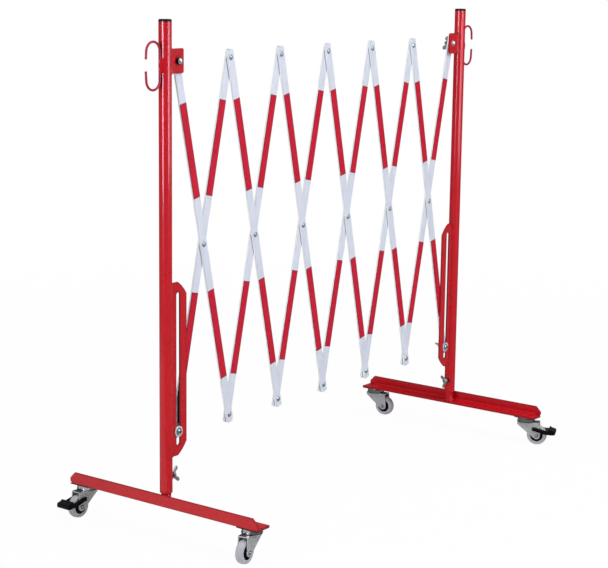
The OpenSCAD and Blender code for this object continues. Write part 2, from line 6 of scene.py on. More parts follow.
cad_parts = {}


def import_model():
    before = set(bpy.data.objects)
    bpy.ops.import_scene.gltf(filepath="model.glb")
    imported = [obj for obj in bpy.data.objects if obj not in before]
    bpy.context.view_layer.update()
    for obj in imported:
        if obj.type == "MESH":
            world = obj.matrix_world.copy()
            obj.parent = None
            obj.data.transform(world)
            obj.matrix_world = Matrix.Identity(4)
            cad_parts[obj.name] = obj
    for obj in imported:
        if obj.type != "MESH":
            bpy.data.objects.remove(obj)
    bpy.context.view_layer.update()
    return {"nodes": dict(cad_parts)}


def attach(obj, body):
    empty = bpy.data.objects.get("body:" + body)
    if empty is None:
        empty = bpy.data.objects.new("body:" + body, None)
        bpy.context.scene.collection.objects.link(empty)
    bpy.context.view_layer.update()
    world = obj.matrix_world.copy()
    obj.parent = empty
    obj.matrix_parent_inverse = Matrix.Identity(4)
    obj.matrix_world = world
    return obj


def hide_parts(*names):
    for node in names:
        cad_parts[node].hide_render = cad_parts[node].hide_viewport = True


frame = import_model()
nodes = frame["nodes"]

# Sizes of the barrier are in millimetres, as in the CAD: X runs along the barrier, Y away
# from the viewer and Z up. The camera and the studio are in Blender's metres.
MM = 0.001

# Lattice: bars between an upper and a lower pivot, in a front and a back layer.
CELLS = 6
BAR_PIVOT = 790.0
BAR_W = 20.0
OPEN_ANGLE = math.radians(12.6)
PIVOT_Z = 991.987
LOW_Z = PIVOT_Z - BAR_PIVOT * math.cos(OPEN_ANGLE)
PITCH = BAR_PIVOT * math.sin(OPEN_ANGLE)
LATTICE_X = -CELLS * PITCH / 2
FRONT_Y = -0.5
BACK_Y = 4.5

# Posts, with the plates, hook and clamp nut on them.
PIVOT_OUT = 34.0
POST_X = PIVOT_OUT + CELLS * PITCH / 2
ENDS = (("left", -POST_X, 1), ("right", POST_X, -1))
TUBE_R = 13.45
PLATE_FRONT = -4.0
BRACKET_WELD = 24.2
SLOT_PLATE_LOW = 169.3
SLOT_PLATE_HIGH = 539.66
SLOT_IN = 22.2
CLAMP_Z = 129.0
HOOK_Z = 984.6

# Feet and castors: side, end and the way each castor trails.
FOOT_LOW = 70.0
FOOT_TOP = 74.0
CASTOR_OFF = 1.0
CASTOR_Y = 230.0
CROWN_TOP = 58.18
ARM_OUT = 13.1
WHEEL_R = 25.0
TRAIL = 28.0
PEDAL_U = 22.0
PEDAL_Z = 41.5
PEDAL_OUT = 16.4
CASTORS = {
    "left_front": (-1, -1, 187.0),
    "left_rear": (-1, 1, 179.0),
    "right_front": (1, -1, 293.0),
    "right_rear": (1, 1, 275.0),
}
BRAKED = ("left_rear", "right_front")


# Materials -----------------------------------------------------------------

class Tree:
    """The nodes of one material or world."""

    def __init__(self, owner):
        owner.use_nodes = True
        self.tree = owner.node_tree

    def node(self, kind, **settings):
        made = self.tree.nodes.new(kind)
        for key, value in settings.items():
            setattr(made, key, value)
        return made

    def link(self, source, target):
        self.tree.links.new(source, target)

    def coordinates(self, kind):
        return self.node("ShaderNodeTexCoord").outputs[kind]

    def split(self, vector):
        """The X, Y and Z of a vector."""
        made = self.node("ShaderNodeSeparateXYZ")
        self.link(vector, made.inputs["Vector"])
        return made.outputs

    def ramp(self, value, stops):
        """Colours along a value, from (place, colour) stops in rising order."""
        made = self.node("ShaderNodeValToRGB")
        band = made.color_ramp
        while len(band.elements) < len(stops):
            band.elements.new(0.5)
        for element, (at, colour) in zip(band.elements, stops):
            element.position = at
            element.color = (*colour, 1.0)
        self.link(value, made.inputs["Fac"])
        return made.outputs["Color"]

    def range(self, value, low, high, from_low=0.3, from_high=0.7):
        """Low at from_low, high at from_high, and held beyond them."""
        made = self.node("ShaderNodeMapRange")
        numbers = {"From Min": from_low, "From Max": from_high, "To Min": low, "To Max": high}
        for key, number in numbers.items():
            made.inputs[key].default_value = number
        self.link(value, made.inputs["Value"])
        return made.outputs["Result"]

    def math(self, operation, *values):
        made = self.node("ShaderNodeMath", operation=operation)
        for socket, value in zip(made.inputs, values):
            if isinstance(value, float):
                socket.default_value = value
            else:
                self.link(value, socket)
        return made.outputs["Value"]

    def mix_shaders(self, factor, first, second):
        made = self.node("ShaderNodeMixShader")
        for socket, source in zip(made.inputs, (factor, first, second)):
            self.link(source, socket)
        return made.outputs["Shader"]


class Shader(Tree):
    """One Principled material. Noise scales count per metre; distances are in millimetres."""

    def __init__(self, name):
        self.material = bpy.data.materials.new(name)
        super().__init__(self.material)
        self.bsdf = self.tree.nodes["Principled BSDF"]
        self.place = self.coordinates("Object")

    def set(self, **values):
        for key, value in values.items():
            self.bsdf.inputs[key.replace("_", " ")].default_value = value

    def colour(self, socket):
        self.link(socket, self.bsdf.inputs["Base Color"])

    def rough(self, socket):
        self.link(socket, self.bsdf.inputs["Roughness"])

    def bump(self, height, distance, strength):
        made = self.node("ShaderNodeBump")
        made.inputs["Distance"].default_value = distance * MM
        made.inputs["Strength"].default_value = strength
        self.link(height, made.inputs["Height"])
        self.link(made.outputs["Normal"], self.bsdf.inputs["Normal"])

    def stretched(self, lean, along):
        """Coordinates that draw noise out along a bar that leans from the upright."""
        made = self.node("ShaderNodeMapping")
        made.inputs["Rotation"].default_value = (0, lean, 0)
        made.inputs["Scale"].default_value = (1.0, 1.0, along)
        self.link(self.place, made.inputs["Vector"])
        return made.outputs["Vector"]

    def noise(self, scale, detail=3.0, rough=0.5, place=None):
        made = self.node("ShaderNodeTexNoise")
        made.inputs["Scale"].default_value = scale
        made.inputs["Detail"].default_value = detail
        made.inputs["Roughness"].default_value = rough
        self.link(place or self.place, made.inputs["Vector"])
        return made.outputs["Fac"]

    def mix(self, factor, a, b, blend="MIX"):
        """A blend of two colours; each value is a number, a colour or a socket."""
        made = self.node("ShaderNodeMix", data_type="RGBA", blend_type=blend)
        for key, value in (("Factor", factor), ("A", a), ("B", b)):
            if isinstance(value, (int, float)):
                made.inputs[key].default_value = value
            elif isinstance(value, tuple):
                made.inputs[key].default_value = (*value, 1.0)
            else:
                self.link(value, made.inputs[key])
        return made.outputs["Result"]

    def clouds(self, field, dark, light):
        """Soft patches of two colours."""
        return self.ramp(field, [(0.3, dark), (0.7, light)])

    def specks(self, field, start, full, strength):
        """A mask of small spots where the noise is high."""
        return self.ramp(field, [(start, grey(0.0)), (full, grey(strength))])

    def rise(self, value, start, end):
        """A mask from 0 at start to 1 at end, both in millimetres."""
        return self.range(value, 0.0, 1.0, start * MM, end * MM)

    def fall(self, value, start, end):
        """A mask from 1 at start to 0 at end, both in millimetres."""
        return self.range(value, 1.0, 0.0, start * MM, end * MM)

    def edges(self, radius, strength):
        """A mask of the sharp outer edges that fades inwards over the radius."""
        soft = self.node("ShaderNodeBevel", samples=6)
        soft.inputs["Radius"].default_value = radius * MM
        flat = self.node("ShaderNodeNewGeometry")
        dot = self.node("ShaderNodeVectorMath", operation="DOT_PRODUCT")
        self.link(soft.outputs["Normal"], dot.inputs[0])
        self.link(flat.outputs["Normal"], dot.inputs[1])
        mask = self.range(dot.outputs["Value"], 1.0, 0.0, 0.80, 0.985)
        return self.math("MULTIPLY", mask, strength)

    def upward(self):
        """A mask that is 1 on faces that look up."""
        normal = self.split(self.node("ShaderNodeNewGeometry").outputs["True Normal"])
        return self.range(normal["Z"], 0.0, 1.0, 0.6, 0.9)

    def sideways(self):
        """A mask that is 1 on faces that look along the barrier."""
        normal = self.split(self.node("ShaderNodeNewGeometry").outputs["True Normal"])
        return self.range(self.math("ABSOLUTE", normal["X"]), 0.0, 1.0, 0.6, 0.9)

    def crevices(self, distance):
        """A mask that is 1 where near surfaces close a place in."""
        open_air = self.node("ShaderNodeAmbientOcclusion", samples=8)
        open_air.inputs["Distance"].default_value = distance * MM
        return self.range(open_air.outputs["AO"], 1.0, 0.0, 0.25, 0.65)


def grey(value):
    return (value, value, value)


def slot_walls(s):
    """A mask of the walls of both slots, by the distance from a slot's middle line."""
    at = s.split(s.place)
    across = s.math("SUBTRACT", s.math("ABSOLUTE", at["X"]), (POST_X - PIVOT_OUT) * MM)
    low, high = SLOT_PLATE_LOW + SLOT_IN, SLOT_PLATE_HIGH - SLOT_IN
    walls = s.fall(s.math("ABSOLUTE", across), 5.56, 5.9)
    above = s.rise(at["Z"], low - 0.1, low + 0.1)
    below = s.fall(at["Z"], high - 0.1, high + 0.1)
    return s.math("MULTIPLY", walls, s.math("MULTIPLY", above, below))


def hook_shade_mask(s):
    """A mask of painted shade above and below each hook's weld, on the post's outer side beside
    the wire.
    """
    at = s.split(s.place)
    outer = s.rise(s.math("ABSOLUTE", at["X"]), POST_X + 9.0, POST_X + 9.5)
    outer = s.math("MULTIPLY", outer, s.rise(at["Y"], -4.4, -3.0))
    away = s.math("ABSOLUTE", s.math("SUBTRACT", at["Z"], HOOK_Z * MM))
    band = s.math("MULTIPLY", s.rise(away, 10.5, 14.5), s.fall(away, 38.0, 50.0))
    return s.math("MULTIPLY", outer, band)


def red_enamel():
    """Gloss paint with thin spots; painted shade darkens its edges, the slots' walls and the post
    beside each hook's wire.
    """
    s = Shader("red_enamel")
    base = s.clouds(s.noise(7.0, 3.0), (0.545, 0.005, 0.012), (0.595, 0.007, 0.015))
    thin = s.specks(s.noise(210.0, 5.0, 0.6), 0.64, 0.76, 0.25)
    paint = s.mix(thin, base, (0.43, 0.003, 0.008))
    # Painted shade: the slots' walls are painted near black.
    paint = s.mix(slot_walls(s), paint, (0.012, 0.0008, 0.001))
    # Painted shade: the edges are painted dark maroon, as edge faces in shade.
    paint = s.mix(s.edges(4.0, 0.95), paint, (0.10, 0.002, 0.005))
    # Painted shade: the post beside each hook's wire is painted dark.
    s.colour(s.mix(hook_shade_mask(s), paint, (0.085, 0.001, 0.003)))
    s.rough(s.range(s.noise(45.0, 4.0), 0.26, 0.34))
    s.bump(s.noise(120.0, 2.0), 0.01, 0.1)
    s.link(s.range(s.upward(), 1.0, 0.15, 0.0, 1.0), s.bsdf.inputs["Coat Weight"])
    s.set(Specular_IOR_Level=0.1, Coat_Roughness=0.12)
    return s.material


def shaded_red(name, dark, light, rough, coat, shine=0.15):
    """Red enamel of another depth: thick over a weld, darker and bluer on a wire, and darker
    copies that paint shade on a nut, a plate and a strip.
    """
    s = Shader(name)
    s.colour(s.clouds(s.noise(60.0, 4.0), dark, light))
    s.rough(s.range(s.noise(70.0, 4.0), rough, rough + 0.12))
    s.bump(s.noise(260.0, 3.0), 0.06, 0.4)
    s.set(Specular_IOR_Level=shine, Coat_Weight=coat, Coat_Roughness=0.2)
    return s.material


def white_enamel(name, lean):
    """White paint rolled along the bar; painted light brightens its narrow sides, and painted
    shade darkens its corners and edges.
    """
    s = Shader(name)
    rolled = s.noise(260.0, 4.0, 0.6, s.stretched(lean, 0.03))
    base = s.clouds(s.noise(11.0, 4.0), (0.72, 0.76, 0.88), (0.785, 0.82, 0.92))
    streaks = s.ramp(rolled, [(0.35, (0.90, 0.91, 0.93)), (0.65, grey(1.0))])
    scuff = s.specks(s.noise(75.0, 6.0, 0.7), 0.66, 0.76, 0.4)
    # Painted light: the narrow sides are painted brighter, as if lit from the side.
    paint = s.mix(s.sideways(), s.mix(1.0, base, streaks, "MULTIPLY"), (0.94, 0.95, 0.98))
    # Painted shade: corners where the bars close in are painted grey.
    paint = s.mix(s.crevices(3.5), paint, (0.14, 0.15, 0.18))
    # Painted shade: a grey line is painted along the edges.
    paint = s.mix(s.edges(1.4, 0.6), paint, (0.30, 0.32, 0.37))
    s.colour(s.mix(scuff, paint, (0.42, 0.43, 0.46)))
    s.rough(s.range(s.noise(30.0, 4.0), 0.30, 0.44))
    s.bump(s.math("ADD", rolled, s.noise(380.0, 2.0)), 0.08, 0.3)
    s.set(Specular_IOR_Level=0.45, Coat_Weight=0.2, Coat_Roughness=0.15)
    return s.material


def stripe_film():
    """Red film of the bands, with small worn spots."""
    s = Shader("stripe_red")
    base = s.clouds(s.noise(14.0, 3.0), (0.575, 0.009, 0.032), (0.645, 0.012, 0.040))
    worn = s.specks(s.noise(120.0, 6.0, 0.7), 0.66, 0.78, 0.3)
    s.colour(s.mix(worn, base, (0.45, 0.02, 0.04)))
    s.rough(s.range(s.noise(50.0), 0.26, 0.38))
    s.bump(s.noise(500.0, 2.0), 0.06, 0.3)
    s.set(Specular_IOR_Level=0.12, Coat_Weight=0.12, Coat_Roughness=0.15)
    return s.material


def zinc(name, level, low_rough, high_rough, metallic,
         tone=(1.0, 1.01, 1.03), edge=0.0, painted_shade=0.0):
    """Plated steel, with a painted highlight that lightens its rims and painted shade that
    darkens its tops and corners.
    """
    s = Shader(name)
    cloud = s.noise(220.0, 5.0, 0.65)
    light = tuple(level * c for c in tone)
    tint = s.clouds(cloud, tuple(c * 0.80 for c in light), light)
    grain = s.ramp(s.noise(900.0, 3.0, 0.6), [(0.35, grey(0.88)), (0.65, grey(1.0))])
    metal = s.mix(1.0, tint, grain, "MULTIPLY")
    # Painted shade: tops and closed-in corners are painted near black.
    if painted_shade:
        shade_mask = s.math("MAXIMUM", s.math("MULTIPLY", s.upward(), painted_shade), s.crevices(10.0))
        metal = s.mix(shade_mask, metal, (0.020, 0.018, 0.028))
    # Painted highlight: the rims are painted lighter.
    if edge:
        metal = s.mix(s.edges(0.8, edge), metal, (0.92, 0.95, 0.95))
    s.colour(metal)
    s.rough(s.range(s.noise(140.0, 4.0), low_rough, high_rough))
    s.bump(s.math("ADD", cloud, s.noise(1400.0, 2.0)), 0.05, 0.35)
    s.set(Metallic=metallic)
    return s.material


def grey_rubber():
    """Dusty grey tyres, with a painted highlight on their edges."""
    s = Shader("grey_rubber")
    base = s.clouds(s.noise(60.0, 5.0, 0.6), (0.43, 0.425, 0.465), (0.52, 0.515, 0.56))
    dust = s.specks(s.noise(420.0, 4.0, 0.7), 0.6, 0.75, 0.35)
    tread = s.mix(dust, base, (0.34, 0.335, 0.34))
    # Painted highlight: the tyre's edges are painted paler.
    s.colour(s.mix(s.edges(1.6, 0.7), tread, (0.66, 0.66, 0.70)))
    s.rough(s.range(s.noise(90.0, 4.0), 0.62, 0.82))
    s.bump(s.math("ADD", s.noise(900.0, 3.0), s.noise(150.0, 3.0)), 0.18, 0.4)
    s.set(Specular_IOR_Level=0.4)
    return s.material


def black_plastic():
    s = Shader("black_plastic")
    s.colour(s.clouds(s.noise(70.0, 4.0), (0.0008, 0.0008, 0.001), (0.003, 0.003, 0.0035)))
    s.rough(s.range(s.noise(80.0, 4.0), 0.30, 0.44))
    s.bump(s.noise(1600.0, 2.0), 0.05, 0.35)
    s.set(Specular_IOR_Level=0.16)
    return s.material


RED = red_enamel()
WHITE_A = white_enamel("white_enamel_front", -OPEN_ANGLE)
WHITE_B = white_enamel("white_enamel_back", OPEN_ANGLE)
FILM = stripe_film()
BRIGHT = zinc("zinc_bright", 0.55, 0.20, 0.34, 0.85)
CHROME = zinc("zinc_smooth", 0.80, 0.08, 0.16, 1.0)
SATIN = zinc("zinc_satin", 0.60, 0.30, 0.46, 0.35, (0.98, 1.03, 1.02), 0.7, 0.85)
PALE = zinc("zinc_pale", 0.64, 0.34, 0.48, 0.15, (0.97, 0.99, 1.03), 0.5)
WING = zinc("zinc_wing", 0.30, 0.30, 0.46, 0.5, (0.95, 1.03, 1.03), 0.35)
BLUED = zinc("zinc_blued", 0.38, 0.22, 0.36, 0.6, (0.78, 1.04, 1.12))
TEAL = zinc("zinc_dark", 0.06, 0.20, 0.34, 0.4, (0.6, 1.0, 1.2))
RUBBER = grey_rubber()
WELD = shaded_red("red_weld", (0.50, 0.004, 0.010), (0.58, 0.006, 0.014), 0.55, 0.0, 0.05)
WIRE = shaded_red("red_wire", (0.36, 0.008, 0.030), (0.44, 0.012, 0.042), 0.34, 0.3)
# Painted shade: the clamp nut is a darker copy of the red paint, for the wings' shadow.
SHADED_NUT = shaded_red("red_nut_shade", (0.10, 0.001, 0.004), (0.17, 0.002, 0.008), 0.34, 0.4)
BLACK = black_plastic()
FILM_RIM = shaded_red("stripe_rim", (0.18, 0.010, 0.020), (0.27, 0.014, 0.028), 0.3, 0.1)
# Painted shadow: near-black red for the strip that stands in for the slot plate's shadow on the
# bar.
PAINTED_SHADOW = shaded_red("painted_shadow_red", (0.016, 0.0008, 0.001), (0.026, 0.001, 0.002), 0.7, 0.0, 0.0)
# Painted shade: near-black red for the castor plate under the foot.
SHADE = shaded_red("red_underside", (0.020, 0.001, 0.003), (0.035, 0.002, 0.005), 0.4, 0.2)


def finish_of(name):
    """The material of a CAD node."""
    if name.startswith("bar_a"):
        return WHITE_A
    if name.startswith("bar_b"):
        return WHITE_B
    if name.endswith("tyre"):
        return RUBBER
    if name.endswith(("hub", "pedal", "cap")):
        return BLACK
    if name.endswith("fork"):
        return SATIN
    if name.endswith("castor_heads"):
        return CHROME
    if name.startswith("rivets"):
        return BLUED
    if name.endswith(("bolt", "wing_nut", "clamp_screw")):
        return BRIGHT
    if name.endswith("hook"):
        return WIRE
    if name.endswith("clamp_nut"):
        return SHADED_NUT
    return RED


# Softened edges of the CAD nodes, by a part of the name; stubs and bolts keep theirs.
EDGES = {
    "bar_": 0.35, "bracket": 0.5, "slot_plate": 0.5, "foot": 0.7, "fork": 0.35, "pedal": 0.7,
    "wing_nut": 0.45, "clamp_screw": 0.45, "clamp_nut": 0.5, "hub": 0.3, "castor_heads": 0.8,
}
EDGE_ANGLE = math.radians(35)
SAME_POINT = 0.01


def soften(obj, width):
    obj.modifiers.new("weld", "WELD").merge_threshold = SAME_POINT * MM
    bevel = obj.modifiers.new("soft_edges", "BEVEL")
    bevel.width = width * MM
    bevel.segments = 2
    bevel.limit_method = "ANGLE"
    bevel.angle_limit = EDGE_ANGLE
    bevel.use_clamp_overlap = True
    obj.modifiers.new("even_shading", "WEIGHTED_NORMAL").keep_sharp = True


for name, obj in nodes.items():
    obj.data.materials.clear()
    obj.data.materials.append(finish_of(name))
    for key, width in EDGES.items():
        if key in name and not name.endswith(("stub", "bolt")):
            soften(obj, width)
            break


# Mesh pieces ---------------------------------------------------------------

def piece(name, verts, faces, material, body, smooth=True):
    """A mesh in millimetres in the row frame, riding on a body."""
    mesh = bpy.data.meshes.new(name)
    mesh.from_pydata([tuple(c * MM for c in v) for v in verts], [], faces)
    mesh.validate()
    mesh.update()
    for polygon in mesh.polygons:
        polygon.use_smooth = smooth
    mesh.materials.append(material)
    obj = bpy.data.objects.new(name, mesh)
    bpy.context.scene.collection.objects.link(obj)
    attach(obj, body)
    return obj


def square_to(out):
    """Two directions square to out and to each other."""
    along = Vector((0, 0, 1)) if abs(out.z) < 0.9 else Vector((1, 0, 0))
    a = out.cross(along).normalized()
    return a, out.cross(a)


class Parts:
    """Collects several closed shapes into one mesh."""

    def __init__(self):
        self.verts = []
        self.faces = []

    def rings(self, loops, closed=False):
        """Joins equal rings of points into a tube, capped unless it closes on itself."""
        start, count = len(self.verts), len(loops[0])
        for loop in loops:
            self.verts.extend(tuple(p) for p in loop)
        last = len(loops) if closed else len(loops) - 1
        for i in range(last):
            a, b = start + i * count, start + ((i + 1) % len(loops)) * count
            for j in range(count):
                k = (j + 1) % count
                self.faces.append((a + j, a + k, b + k, b + j))
        if not closed:
            self.faces.append(tuple(range(start + count - 1, start - 1, -1)))
            end = start + (len(loops) - 1) * count
            self.faces.append(tuple(range(end, end + count)))
        return self

    def sheet(self, outline, place, depth, thickness, edge):
        """A flat shape with softened rims; place(u, v, w) puts a point into the row frame."""
        shoulder = thickness * 0.6
        inner = [(u * (1 - edge / max(abs(u), edge)), v) for u, v in outline]
        return self.rings([
            [place(u, v, -depth) for u, v in outline],
            [place(u, v, shoulder) for u, v in outline],
            [place(u, v, thickness) for u, v in inner],
        ])

    def bead(self, path, wide, high, ripple, closed=False, seed=0.0, sides=10):
        """A weld bead along a path of (point, side, up), with ripples and a hand's unevenness."""
        loops, run = [], 0.0
        for i, (point, side, up) in enumerate(path):
            if i:
                run += (Vector(point) - Vector(path[i - 1][0])).length
            swell = 0.86 + 0.14 * abs(math.sin(math.pi * run / ripple))
            swell *= 1 + 0.12 * noise.noise(Vector((run * 0.35 + seed, seed, 0.0)))
            if not closed:
                swell *= max(0.12, math.sin(math.pi * (i / (len(path) - 1)))) ** 0.35
            loops.append([
                Vector(point) + Vector(side) * (wide * swell * math.cos(2 * math.pi * j / sides))
                + Vector(up) * (high * swell * math.sin(2 * math.pi * j / sides))
                for j in range(sides)
            ])
        return self.rings(loops, closed)

    def dome(self, centre, out, radius, height, sides=20, steps=5):
        """A flat-backed dome with its base round the centre and its top along out."""
        a, b = square_to(out)
        loops = []
        for i in range(steps + 1):
            t = math.pi / 2 * i / steps
            r = max(radius * math.cos(t), radius * 0.04)
            loops.append([
                centre + a * (r * math.cos(2 * math.pi * j / sides))
                + b * (r * math.sin(2 * math.pi * j / sides)) + out * (height * math.sin(t))
                for j in range(sides)
            ])
        return self.rings(loops)

    def collar(self, centre, out, inner, outer, low, high, sides=36):
        """A flat ring about out, from low to high along it."""
        a, b = square_to(out)
        loops = []
        for j in range(sides):
            t = 2 * math.pi * j / sides
            away = a * math.cos(t) + b * math.sin(t)
            loops.append([
                centre + away * inner + out * low, centre + away * outer + out * low,
                centre + away * outer + out * high, centre + away * inner + out * high,
            ])
        return self.rings(loops, closed=True)

    def block(self, low, high):
        """A box between two corners."""
        (x0, y0, z0), (x1, y1, z1) = low, high
        return self.rings([
            [(x0, y0, z), (x1, y0, z), (x1, y1, z), (x0, y1, z)] for z in (z0, z1)
        ])

    def make(self, name, material, body, slot, smooth=True):
        return piece(name, self.verts, self.faces, material, body, smooth)


# Red bands: a dark rim of film that wraps the bar's edges, and a field of film on its face.
# They start and end at shares of the bar's length, measured from the upper pivot.
BANDS = ((0.113, 0.370), (0.630, 0.887))
FILM_T = 0.12
FILM_WRAP = 0.7
FILM_CORNER = 0.3
RIM_W = 1.5
FIELD_T = FILM_T + 0.06
FIELD_CORNER = 0.6
FIELD_EDGE = 0.1


def rounded_strip(half_w, v0, v1, radius, steps=4):
    """A rectangle with rounded corners, as (across, along) points."""
    points = []
    for cu, cv, start in (
        (half_w - radius, v1 - radius, 0), (-half_w + radius, v1 - radius, 90),
        (-half_w + radius, v0 + radius, 180), (half_w - radius, v0 + radius, 270),
    ):
        for i in range(steps + 1):
            a = math.radians(start + 90 * i / steps)
            points.append((cu + radius * math.cos(a), cv + radius * math.sin(a)))
    return points


def bar_bands(layer, k):
    """The bands of bar k of the front layer, a, or of the back layer, b, which leans back."""
    front = layer == "a"
    lean = 1 if front else -1
    along = Vector((lean * math.sin(OPEN_ANGLE), 0, -math.cos(OPEN_ANGLE)))
    across = Vector((math.cos(OPEN_ANGLE), 0, lean * math.sin(OPEN_ANGLE)))
    top_x = LATTICE_X + (k - 1 if front else k) * PITCH
    origin = Vector((top_x, FRONT_Y if front else BACK_Y, PIVOT_Z))

    def place(u, v, w):
        return origin + across * u + along * v + Vector((0, -w, 0))

    rims, fields = Parts(), Parts()
    for low, high in BANDS:
        start, end = low * BAR_PIVOT, high * BAR_PIVOT
        rim = rounded_strip(BAR_W / 2 + FILM_T, start, end, FILM_CORNER)
        rims.sheet(rim, place, FILM_WRAP, FILM_T, FILM_CORNER)
        field = rounded_strip(BAR_W / 2 - RIM_W, start + RIM_W, end - RIM_W, FIELD_CORNER)
        fields.sheet(field, place, 0.0, FIELD_T, FIELD_EDGE)
    body = f"front_bar_{k}" if front else f"back_bar_{k}"
    rims.make(f"band_rims_{layer}{k}", FILM_RIM, body, "white_paint", smooth=False)
    fields.make(f"bands_{layer}{k}", FILM, body, "white_paint", smooth=False)


for k in range(1, CELLS + 1):
    bar_bands("a", k)
    bar_bands("b", k)


# A dark strip of painted shadow on the first back bar, where the slot plate shades it: its reach
# across from the post's middle, its start above the slot bolt, and how far it stands out of the
# bar's face and sinks into it.
SLOT_SHADOW_ACROSS = (40.6, 56.0)
SLOT_SHADOW_START = 14
SLOT_SHADOW_LENGTH = 112
SLOT_SHADOW_STEPS = 23
SLOT_SHADOW_LEAST_W = 0.2
SLOT_SHADOW_OUT = 0.06
SLOT_SHADOW_SINK = 0.3


def slot_shadow_strip():
    """The dark strip of painted shadow that the left slot plate casts on the first back bar."""
    shadow_from, shadow_to = (u - POST_X for u in SLOT_SHADOW_ACROSS)
    front, back = BACK_Y - SLOT_SHADOW_OUT, BACK_Y + SLOT_SHADOW_SINK
    loops = []
    for i in range(SLOT_SHADOW_STEPS + 1):
        z = LOW_Z + SLOT_SHADOW_START + SLOT_SHADOW_LENGTH * i / SLOT_SHADOW_STEPS
        middle = PIVOT_OUT - POST_X + (z - LOW_Z) * math.tan(OPEN_ANGLE)
        a = max(shadow_from, middle - BAR_W / 2)
        b = max(a + SLOT_SHADOW_LEAST_W, min(shadow_to, middle + BAR_W / 2))
        loops.append([(a, front, z), (b, front, z), (b, back, z), (a, back, z)])
    Parts().rings(loops).make("slot_shadow_strip", PAINTED_SHADOW, "back_bar_1", "white_paint", smooth=False)


# Weld beads, drawn for the post at x; flip is 1 at the left one and -1 at the right one.
# Angles go round the tube in degrees, from its side towards the lattice.
SADDLE_TURN = 190.0
SADDLE_HALF = 15.5
SADDLE_REACH = (12, 22)
SADDLE_EDGE = 0.35
SADDLE_LIFT = 4.9
SADDLE_ROUGH = 0.10
SADDLE_SINK = 0.6
SADDLE_STEPS = 24
RUN_TURN = (-42, 6)
RUN_RISE = (1.2, 0.2)
RUN_OFF = 0.3
TACK_TURN = -20
TACK_HALF = 6
TACK_INSET = 5
TACK_OFF = 0.4
NUT_SEAM_R = 8.2
NUT_SEAM_OFF = 0.3
STUB_SEAM_R = 12.4
STUB_SEAM_UP = 1.5
# Each bead's half width, half height and length of a ripple.
RUN_BEAD = (2.2, 1.5, 2.0)
TACK_BEAD = (2.8, 1.7, 2.1)
NUT_BEAD = (1.5, 1.1, 2.0)
STUB_BEAD = (2.0, 1.6, 2.4)


def hook_saddle(x, flip):
    """The smooth wide weld on either side of the hook's wire, higher and wider in its middle."""
    loops = []
    for i in range(SADDLE_STEPS + 1):
        t = i / SADDLE_STEPS
        z = HOOK_Z - SADDLE_HALF + 2 * SADDLE_HALF * t
        swell = math.sin(math.pi * min(max(t, 0.02), 0.98)) ** 0.5
        reach = SADDLE_REACH[0] + SADDLE_REACH[1] * swell
        outer, inner = [], []
        for j in range(SADDLE_STEPS + 1):
            a = math.radians(SADDLE_TURN - reach + 2 * reach * j / SADDLE_STEPS)
            ridge = math.cos((math.degrees(a) - SADDLE_TURN) * math.pi / 2.1 / reach)
            lift = swell * (SADDLE_EDGE + SADDLE_LIFT * max(0.0, ridge) ** 1.2)
            lift += SADDLE_ROUGH * noise.noise(Vector((z * 0.25, j * 0.5, 4.0)))
            for loop, radius in ((outer, TUBE_R + lift), (inner, TUBE_R - SADDLE_SINK)):
                loop.append(Vector((x + flip * radius * math.cos(a), radius * math.sin(a), z)))
        loops.append(outer + inner[::-1])
    return Parts().rings(loops)


def around_tube(x, flip, radius, angle_a, angle_b, z_a, z_b, count):
    """Points on a post's wall with side and outward directions."""
    path = []
    for i in range(count):
        t = i / (count - 1)
        a = math.radians(angle_a + (angle_b - angle_a) * t)
        out = Vector((math.cos(a) * flip, math.sin(a), 0))
        point = Vector((x, 0, z_a + (z_b - z_a) * t)) + out * radius
        upright = angle_a == angle_b
        side = Vector((-math.sin(a) * flip, math.cos(a), 0)) if upright else Vector((0, 0, 1))
        path.append((point, side, out))
    return path


def nut_seam(x, flip, count=36):
    """The seam of the round clamp nut on the round tube."""
    seam = []
    for i in range(count):
        a = 2 * math.pi * i / count
        y, z = NUT_SEAM_R * math.cos(a), CLAMP_Z + NUT_SEAM_R * math.sin(a)
        out_x = math.sqrt(TUBE_R ** 2 - y * y)
        out = Vector((out_x * flip, y, 0)).normalized()
        away = Vector((0, math.cos(a), math.sin(a)))
        seam.append((Vector((x + flip * (out_x + NUT_SEAM_OFF), y, z)), away, out))
    return seam


def stub_seam(x, flip, count=60):
    """The ring round a stub's foot."""
    seam = []
    for i in range(count):
        a = 2 * math.pi * i / count
        out = Vector((math.cos(a) * flip, math.sin(a), 0))
        point = Vector((x, 0, FOOT_TOP + STUB_SEAM_UP)) + out * STUB_SEAM_R
        seam.append((point, out, Vector((0, 0, 1))))
    return seam


def post_welds(x, flip):
    """Runs at the bracket's corners, three tacks on the slot plate and the clamp nut's seam."""
    welds = Parts()
    for end in (1, -1):
        z_a, z_b = (PIVOT_Z + end * BRACKET_WELD + end * rise for rise in RUN_RISE)
        run = around_tube(x, flip, TUBE_R + RUN_OFF, *RUN_TURN, z_a, z_b, 18)
        welds.bead(run, *RUN_BEAD, seed=11 + end)
    plate_middle = (SLOT_PLATE_LOW + SLOT_PLATE_HIGH) / 2
    for z in (SLOT_PLATE_LOW + TACK_INSET, plate_middle, SLOT_PLATE_HIGH - TACK_INSET):
        tack = around_tube(x, flip, TUBE_R + TACK_OFF, TACK_TURN, TACK_TURN,
                           z - TACK_HALF, z + TACK_HALF, 16)
        welds.bead(tack, *TACK_BEAD, seed=z)
    return welds.bead(nut_seam(x, flip), *NUT_BEAD, closed=True, seed=2.0)


